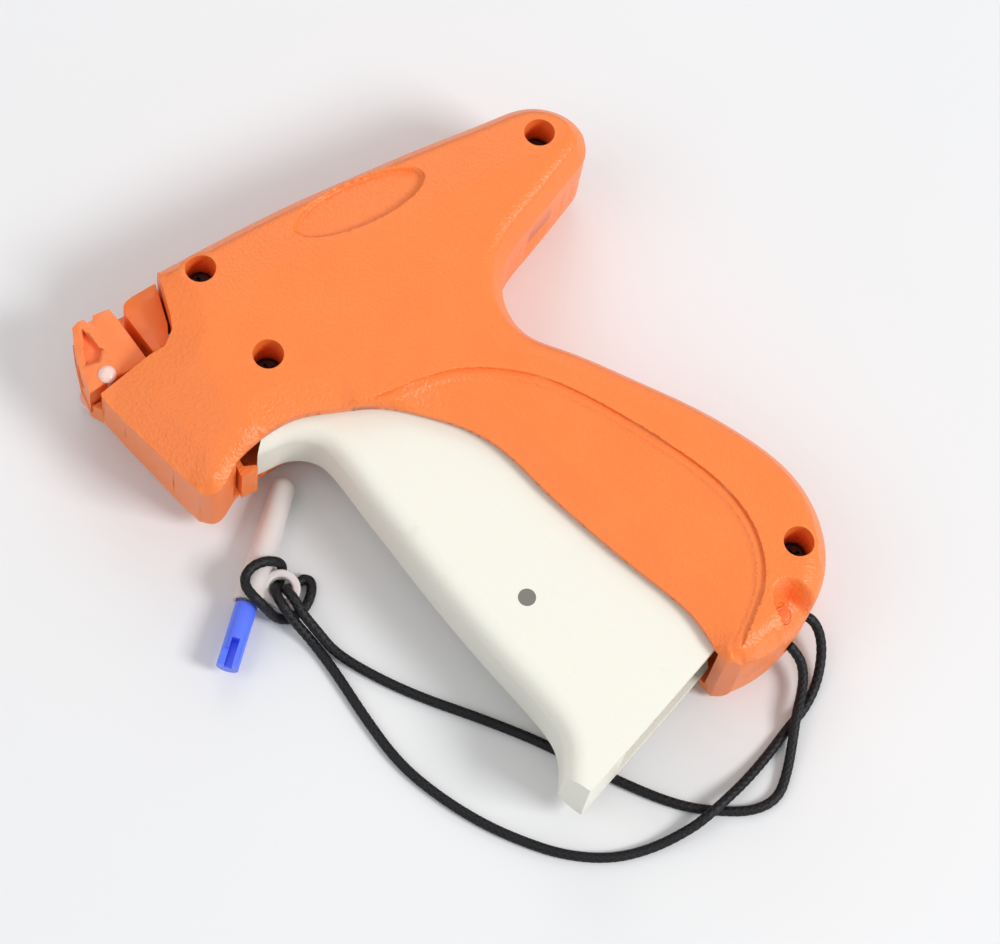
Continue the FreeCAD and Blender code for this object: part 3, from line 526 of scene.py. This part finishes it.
def softened(label, form, body, sharp=32):
    """A CAD piece with its outside trimmed to a soft form; its inside stays as it was."""
    copied = bmesh.new()
    copied.from_mesh(nodes[label].data)
    bmesh.ops.remove_doubles(copied, verts=copied.verts, dist=1e-6)
    mesh = bpy.data.meshes.new(label + "_soft")
    copied.to_mesh(mesh)
    copied.free()
    piece = bpy.data.objects.new(label + "_soft", mesh)
    bpy.context.collection.objects.link(piece)
    trim = piece.modifiers.new("trim", "BOOLEAN")
    trim.operation = "INTERSECT"
    trim.solver = "MANIFOLD"
    trim.object = form
    bpy.context.view_layer.update()
    trimmed = bpy.data.meshes.new_from_object(piece.evaluated_get(bpy.context.evaluated_depsgraph_get()))
    if len(trimmed.polygons) == len(mesh.polygons):
        raise RuntimeError(label + " was not trimmed: its soft form is not closed")
    piece.modifiers.clear()
    piece.data = trimmed
    trimmed.materials.clear()
    trimmed.materials.append(FINISHES[label])
    tidy = bmesh.new()
    tidy.from_mesh(trimmed)
    bmesh.ops.remove_doubles(tidy, verts=tidy.verts, dist=0.02 * MM)
    bmesh.ops.dissolve_degenerate(tidy, edges=tidy.edges, dist=0.01 * MM)
    tidy.to_mesh(trimmed)
    tidy.free()
    trimmed.shade_smooth()
    trimmed.set_sharp_from_angle(angle=math.radians(sharp))
    even = piece.modifiers.new("even", "WEIGHTED_NORMAL")
    even.keep_sharp = True
    even.weight = 80
    bpy.data.objects.remove(form)
    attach(piece, body)
    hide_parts(label)
    return piece


BACK = [(44.6, 52), (43.2, 48.9), (40, 46.7), (33, 43.1), (26, 39.7), (20, 36.3), (16, 31.6), (14.4, 26),
        (15.4, 20.6), (20, 15), (30, 3.2), (38, -7), (44, -16.5), (47.8, -25), (49, -32.5), (48, -40),
        (45, -46.5), (40.5, -51.2), (33, -55), (26, -56.6), (21.5, -56.6)]
CROWN = [(-43.4, 62.2), (-30, 63.4), (-15, 64.4), (0, 64.6), (15, 64.5), (30, 64), (37, 63.3),
         (41.5, 60.5), (44.2, 56), (44.6, 52)]
OPENING = [(17.8, -51.5), (17.2, -45), (14.3, -37), (10.3, -28), (6.3, -18), (3.2, -9.5), (0.3, -0.5),
           (-3.8, 6.6), (-9.8, 12.6), (-17.8, 18.4), (-25, 21), (-33, 23), (-40.3, 22.2)]
NOSE_LOW = [(-40.3, 22.2), (-44, 21), (-47, 19.6), (-50, 17.4), (-52.5, 16.6), (-55, 18)]
RIDGE = [(-19, 20), (-10, 19.4), (-3, 18.7), (5, 15.5), (12, 10.5), (20, 1), (28, -12), (33, -22),
         (35.3, -32), (34.2, -40), (31, -46), (22, -54)]
OVAL = (-2.5, 57.3)
RIDGE_STEP, OVAL_DEPTH, SCOOP_DEPTH = 1.25, 1.24, 6.9


def shell_sections(top, nose):
    """The outline of one half of the casing, as runs of points with the radius of their rounded edge."""
    return [(through(top), 4.2), (through(BACK), 5.2),
            (straight([(21.5, -56.6), (18.6, -54.8), (17.8, -51.5)]), 1.6),
            (through(OPENING), 1.5), (through(NOSE_LOW), 2.2),
            (straight([(-55, 18), (-57.3, 24.3), (-61.8, 38.3), (-63.4, 43.9)]), 1.2), (straight(nose), 0.7)]


def nose_and_crown(places):
    """The casing's faces lean in towards the muzzle, and a little towards the top of the barrel."""
    x, y = places[:, 0], places[:, 1]
    lean = 0.3045 * np.logaddexp(0, (-43 - x) / 0.9) * 0.9
    return 0.04 + lean + 0.136 * np.logaddexp(0, (y - 52) / 0.8) * 0.8


def left_face(places):
    """The left face also steps down inside the grip's crescent ridge and in the oval by the barrel's top."""
    ridge = through(RIDGE, 0.8)
    below = np.concatenate([ridge, [(22, -70), (-30, -70), (-30, 15)]])
    reach = np.where(inside(below, places), distance_to(ridge, places), 0)
    turn = math.radians(1)
    u, v = places[:, 0] - OVAL[0], places[:, 1] - OVAL[1]
    u, v = u * math.cos(turn) + v * math.sin(turn), v * math.cos(turn) - u * math.sin(turn)
    oval = 1 - np.hypot(u / 14, v / 5)
    scoop = np.minimum(smooth_step(distance_to(SCOOP_LEFT, places) / 0.5),
                       smooth_step(distance_to(SCOOP_ROUND, places) / 2.4))
    scoop = np.where(inside(np.concatenate([SCOOP_LEFT, SCOOP_ROUND]), places), scoop, 0)
    return (nose_and_crown(places) + RIDGE_STEP * smooth_step(reach / 2.4)
            + OVAL_DEPTH * smooth_step(oval / 0.09) + SCOOP_DEPTH * scoop)


def round_holes(holes):
    """Three rings of places close round each hole, given as centre and radius."""
    turn = np.linspace(0, 2 * np.pi, 48, endpoint=False)
    rings = [np.stack([x + (radius + more) * np.cos(turn), y + (radius + more) * np.sin(turn)], -1)
             for x, y, radius in holes for more in (0.12, 0.45, 0.95)]
    return np.concatenate(rings)


SCREW_WELLS = [(-36.1, 57.7, 2.95), (-32.2, 36.1, 2.95), (35.8, 55.5, 2.95), (41.5, -40.5, 2.95)]
SCOOP_LEFT = straight([(31.6, -60), (31.4, -48.2)], 0.5)
SCOOP_ROUND = through([(31.4, -48.2), (32.4, -46.4), (34.8, -45.4), (37.2, -46.2), (39, -48.8), (42.3, -54.3),
                       (46.5, -60)], 0.5)
ridge_line = through(RIDGE, 0.5)
around_ridge = fine_places((-22, -56), (38, 23), 0.45)
around_ridge = around_ridge[distance_to(ridge_line, around_ridge) < 2.8]
around_oval = fine_places((-17, 51.5), (12, 63), 0.3)
around_oval = around_oval[np.abs(np.hypot((around_oval[:, 0] - OVAL[0]) / 14,
                                          (around_oval[:, 1] - OVAL[1]) / 5) - 0.95) < 0.12]
left_form = soft_form(
    "left_form", shell_sections(CROWN, [(-63.4, 43.9), (-63.2, 44.9), (-52, 46.9), (-48.7, 47), (-46.2, 49.2),
                                        (-45.3, 52), (-43.4, 62.2)]),
    13, 28, upper=left_face, extra=np.concatenate([around_ridge, around_oval, round_holes(SCREW_WELLS),
                                                   fine_places((30.5, -56), (44, -43.5), 0.4)]))
softened("left_shell", left_form, "root")
right_form = soft_form(
    "right_form", shell_sections([(-61, 60.9), (-52, 61.5)] + CROWN,
                                 [(-63.4, 43.9), (-65.15, 46), (-64.9, 51), (-63.5, 57.2), (-62.5, 60.2),
                                  (-61, 60.9)]),
    0, 15, lower=nose_and_crown)
softened("right_shell", right_form, "root")

NOSE_BLOCK = [(-65, 46), (-64.7, 51), (-63.3, 57.1), (-62.4, 59.8), (-60.8, 60.5), (-59.6, 60.5),
              (-59.2, 59.6), (-58.2, 59.6), (-57.8, 60.5), (-54.2, 60.4), (-53.7, 58.5), (-52.6, 52),
              (-51.9, 47.5), (-65, 46)]
block_form = soft_form("block_form", [(straight(NOSE_BLOCK), 0.45)], 9, 20.5, upper=lambda places: 0.02,
                       extra=round_holes([(-60.3, 48, 1.6)]))
softened("nose_block", block_form, "root")
guide_form = soft_form(
    "guide_form", [
        (straight([(-52, 57.4), (-51, 52), (-50.3, 48.3)]), 1.1),
        (straight([(-50.3, 48.3), (-46.9, 48.8)]), 0.3),
        (straight([(-46.9, 48.8), (-45.4, 52.5), (-43.8, 61.7)]), 0.3),
        (straight([(-43.8, 61.7), (-49.6, 61)]), 1.1),
        (through([(-49.6, 61), (-51.6, 59.9), (-52, 57.4)]), 1.1)],
    9, 20.5, upper=lambda places: 0.02)
softened("comb_guide", guide_form, "root")



# ---- the lanyard post's cap -----------------------------------------------------------------

def turned(name, centre, profile, finish, around=48):
    """A closed piece turned about an upright axis: the profile's (radius, height) pairs at every angle.

    The profile starts and ends on the axis. Centre and profile are in drawing millimetres.
    """
    radius, height = np.array(profile, float)[1:-1].T
    angle = np.linspace(0, 2 * np.pi, around, endpoint=False)
    rim = np.stack([centre[0] + radius[:, None] * np.cos(angle), centre[1] + radius[:, None] * np.sin(angle),
                    centre[2] + height[:, None] + 0 * angle], -1).reshape(-1, 3)
    ends = [(centre[0], centre[1], centre[2] + profile[k][1]) for k in (0, -1)]
    rows, last = len(radius), len(rim)
    faces = grid_faces(rows, around, True)[:, ::-1].tolist()
    faces += [[last, i, (i + 1) % around] for i in range(around)]
    faces += [[last + 1, last - around + (i + 1) % around, last - around + i] for i in range(around)]
    return mesh_piece(name, (np.concatenate([rim, ends]) + SHIFT) * MM, faces, finish)


post_cap = turned("post_cap", (33.8, -50.6, 21), [
    (0, -0.3), (1.64, -0.3), (1.64, 0.08), (1.58, 0.16), (1.46, 0.16), (1.36, 0.02), (1.26, 0.02),
    (1.18, 0.2),
    (1.05, 0.26), (0, 0.26)], FINISHES["nose_block"])
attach(post_cap, "root")


# ---- wrist cord -----------------------------------------------------------------------------

def braid():
    """A round tube whose radius rises and falls with two families of strands wound opposite ways.

    A point at angle a and distance s along the cord lies on the strands numbered a x 6 / turn plus or minus
    s / pitch. Which family is on top changes from one crossing to the next, like a chequerboard. How high a
    point stands on its strand is kept on the mesh as the attribute "stand", for the cord's finish, which uses
    it to paint the strand tops lighter as painted sheen and the grooves darker as painted shade.
    """
    centre, along = evenly(route_points(), 0.19 * MM)
    tangents, side, lift = frames_along(centre)
    angle = np.linspace(0, 2 * np.pi, 32, endpoint=False)
    strands = 6 * angle[None, :] / (2 * np.pi)
    turn = along[:, None] / (1.5 * MM)
    first, second = strands + turn, strands - turn
    on_top = (np.floor(first) + np.floor(second)) % 2 == 0
    across = np.where(on_top, first % 1.0, second % 1.0)
    stand = np.sqrt(np.clip(1 - (2 * across - 1) ** 2, 0, 1))
    radius = CORD_RADIUS * (0.76 + 0.24 * stand)
    taper = np.minimum(1, np.minimum(along, along[-1] - along)[:, None] / (0.6 * MM) + 0.3)
    out = side[:, None] * np.cos(angle)[None, :, None] + lift[:, None] * np.sin(angle)[None, :, None]
    points = centre[:, None] + out * (radius * taper)[:, :, None]
    rings, around = radius.shape
    points = np.concatenate([points.reshape(-1, 3), centre[:1], centre[-1:]])
    faces = grid_faces(rings, around, True).tolist()
    last = rings * around
    faces += [[last, (i + 1) % around, i] for i in range(around)]
    faces += [[last + 1, last - around + i, last - around + (i + 1) % around] for i in range(around)]
    piece = mesh_piece("wrist_cord_braid", points, faces, FINISHES["wrist_cord"])
    height = piece.data.attributes.new("stand", "FLOAT", "POINT")
    height.data.foreach_set("value", np.concatenate([stand.ravel(), [0.5, 0.5]]))
    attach(piece, "root")
    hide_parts("wrist_cord")


braid()


def coil_spring(label, start, end, mean_radius, wire_radius, turns):
    """A round wire wound about the line from start to end, in drawing millimetres.

    The wire's middle at winding angle a lies the share a / (all turns) of the way along the line, and a mean
    radius away from it in the direction a. Its start lies at the trigger and its end at the casing; the coil
    is baked in place and does not bend with them.
    """
    start, end = np.array(start), np.array(end)
    axis = (end - start) / np.linalg.norm(end - start)
    across = np.cross(axis, [0.0, 0.0, 1.0])
    up = np.cross(axis, across)
    angle = np.linspace(0, 2 * np.pi * turns, 26 * turns + 1)[:, None]
    share = angle / angle[-1]
    centre = start + share * (end - start) + mean_radius * (np.cos(angle) * across + np.sin(angle) * up)
    tangents, side, lift = frames_along(centre)
    around = np.linspace(0, 2 * np.pi, 12, endpoint=False)[None, :, None]
    rings = centre[:, None] + wire_radius * (side[:, None] * np.cos(around) + lift[:, None] * np.sin(around))
    last = len(centre) - 1
    faces = grid_faces(last + 1, 12, True).tolist()
    faces += [list(range(11, -1, -1)), list(range(12 * last, 12 * last + 12))]
    piece = mesh_piece(label + "_coil", (rings.reshape(-1, 3) + SHIFT) * MM, faces, FINISHES[label])
    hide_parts(label)
    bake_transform(piece)


coil_spring("return_spring", (-5.2, -26.4, 14), (35.6, -20.7, 14), 2.7, 0.35, 12)


# ---- table and light ------------------------------------------------------------------------

def table_and_light():
    made = Finish("table_white")
    cloud = made.noise(0.25)
    made.set(Base_Color=made.mix(cloud, (0.80, 0.806, 0.817, 1), (0.83, 0.833, 0.84, 1)), Roughness=0.5)
    size = 1.6
    corners = np.array([(-size, -size, 0), (size, -size, 0), (size, size, 0), (-size, size, 0)])
    table = mesh_piece("table", corners, [(0, 1, 2, 3)], made.material, smooth=False)
    lamps = (("key", (0.8, -0.96, 1.15), 0.54, 17.3), ("fill", (-0.7, 0.15, 0.9), 0.8, 2.4),
             ("back", (0.35, 0.8, 0.7), 0.6, 1.9))
    for name, place, width, power in lamps:
        lamp_data = bpy.data.lights.new(name, "AREA")
        lamp_data.shape = "SQUARE"
        lamp_data.size = width
        lamp_data.energy = power
        lamp = bpy.data.objects.new(name, lamp_data)
        bpy.context.collection.objects.link(lamp)
        lamp.location = place
        lamp.rotation_euler = (-Vector(place)).to_track_quat("-Z", "Y").to_euler()
    world = bpy.data.worlds.new("room")
    world.use_nodes = True
    world.node_tree.nodes["Background"].inputs["Color"].default_value = (0.98, 0.99, 1.0, 1)
    world.node_tree.nodes["Background"].inputs["Strength"].default_value = 0.5
    bpy.context.scene.world = world
    bpy.context.scene.view_settings.view_transform = "Standard"


table_and_light()
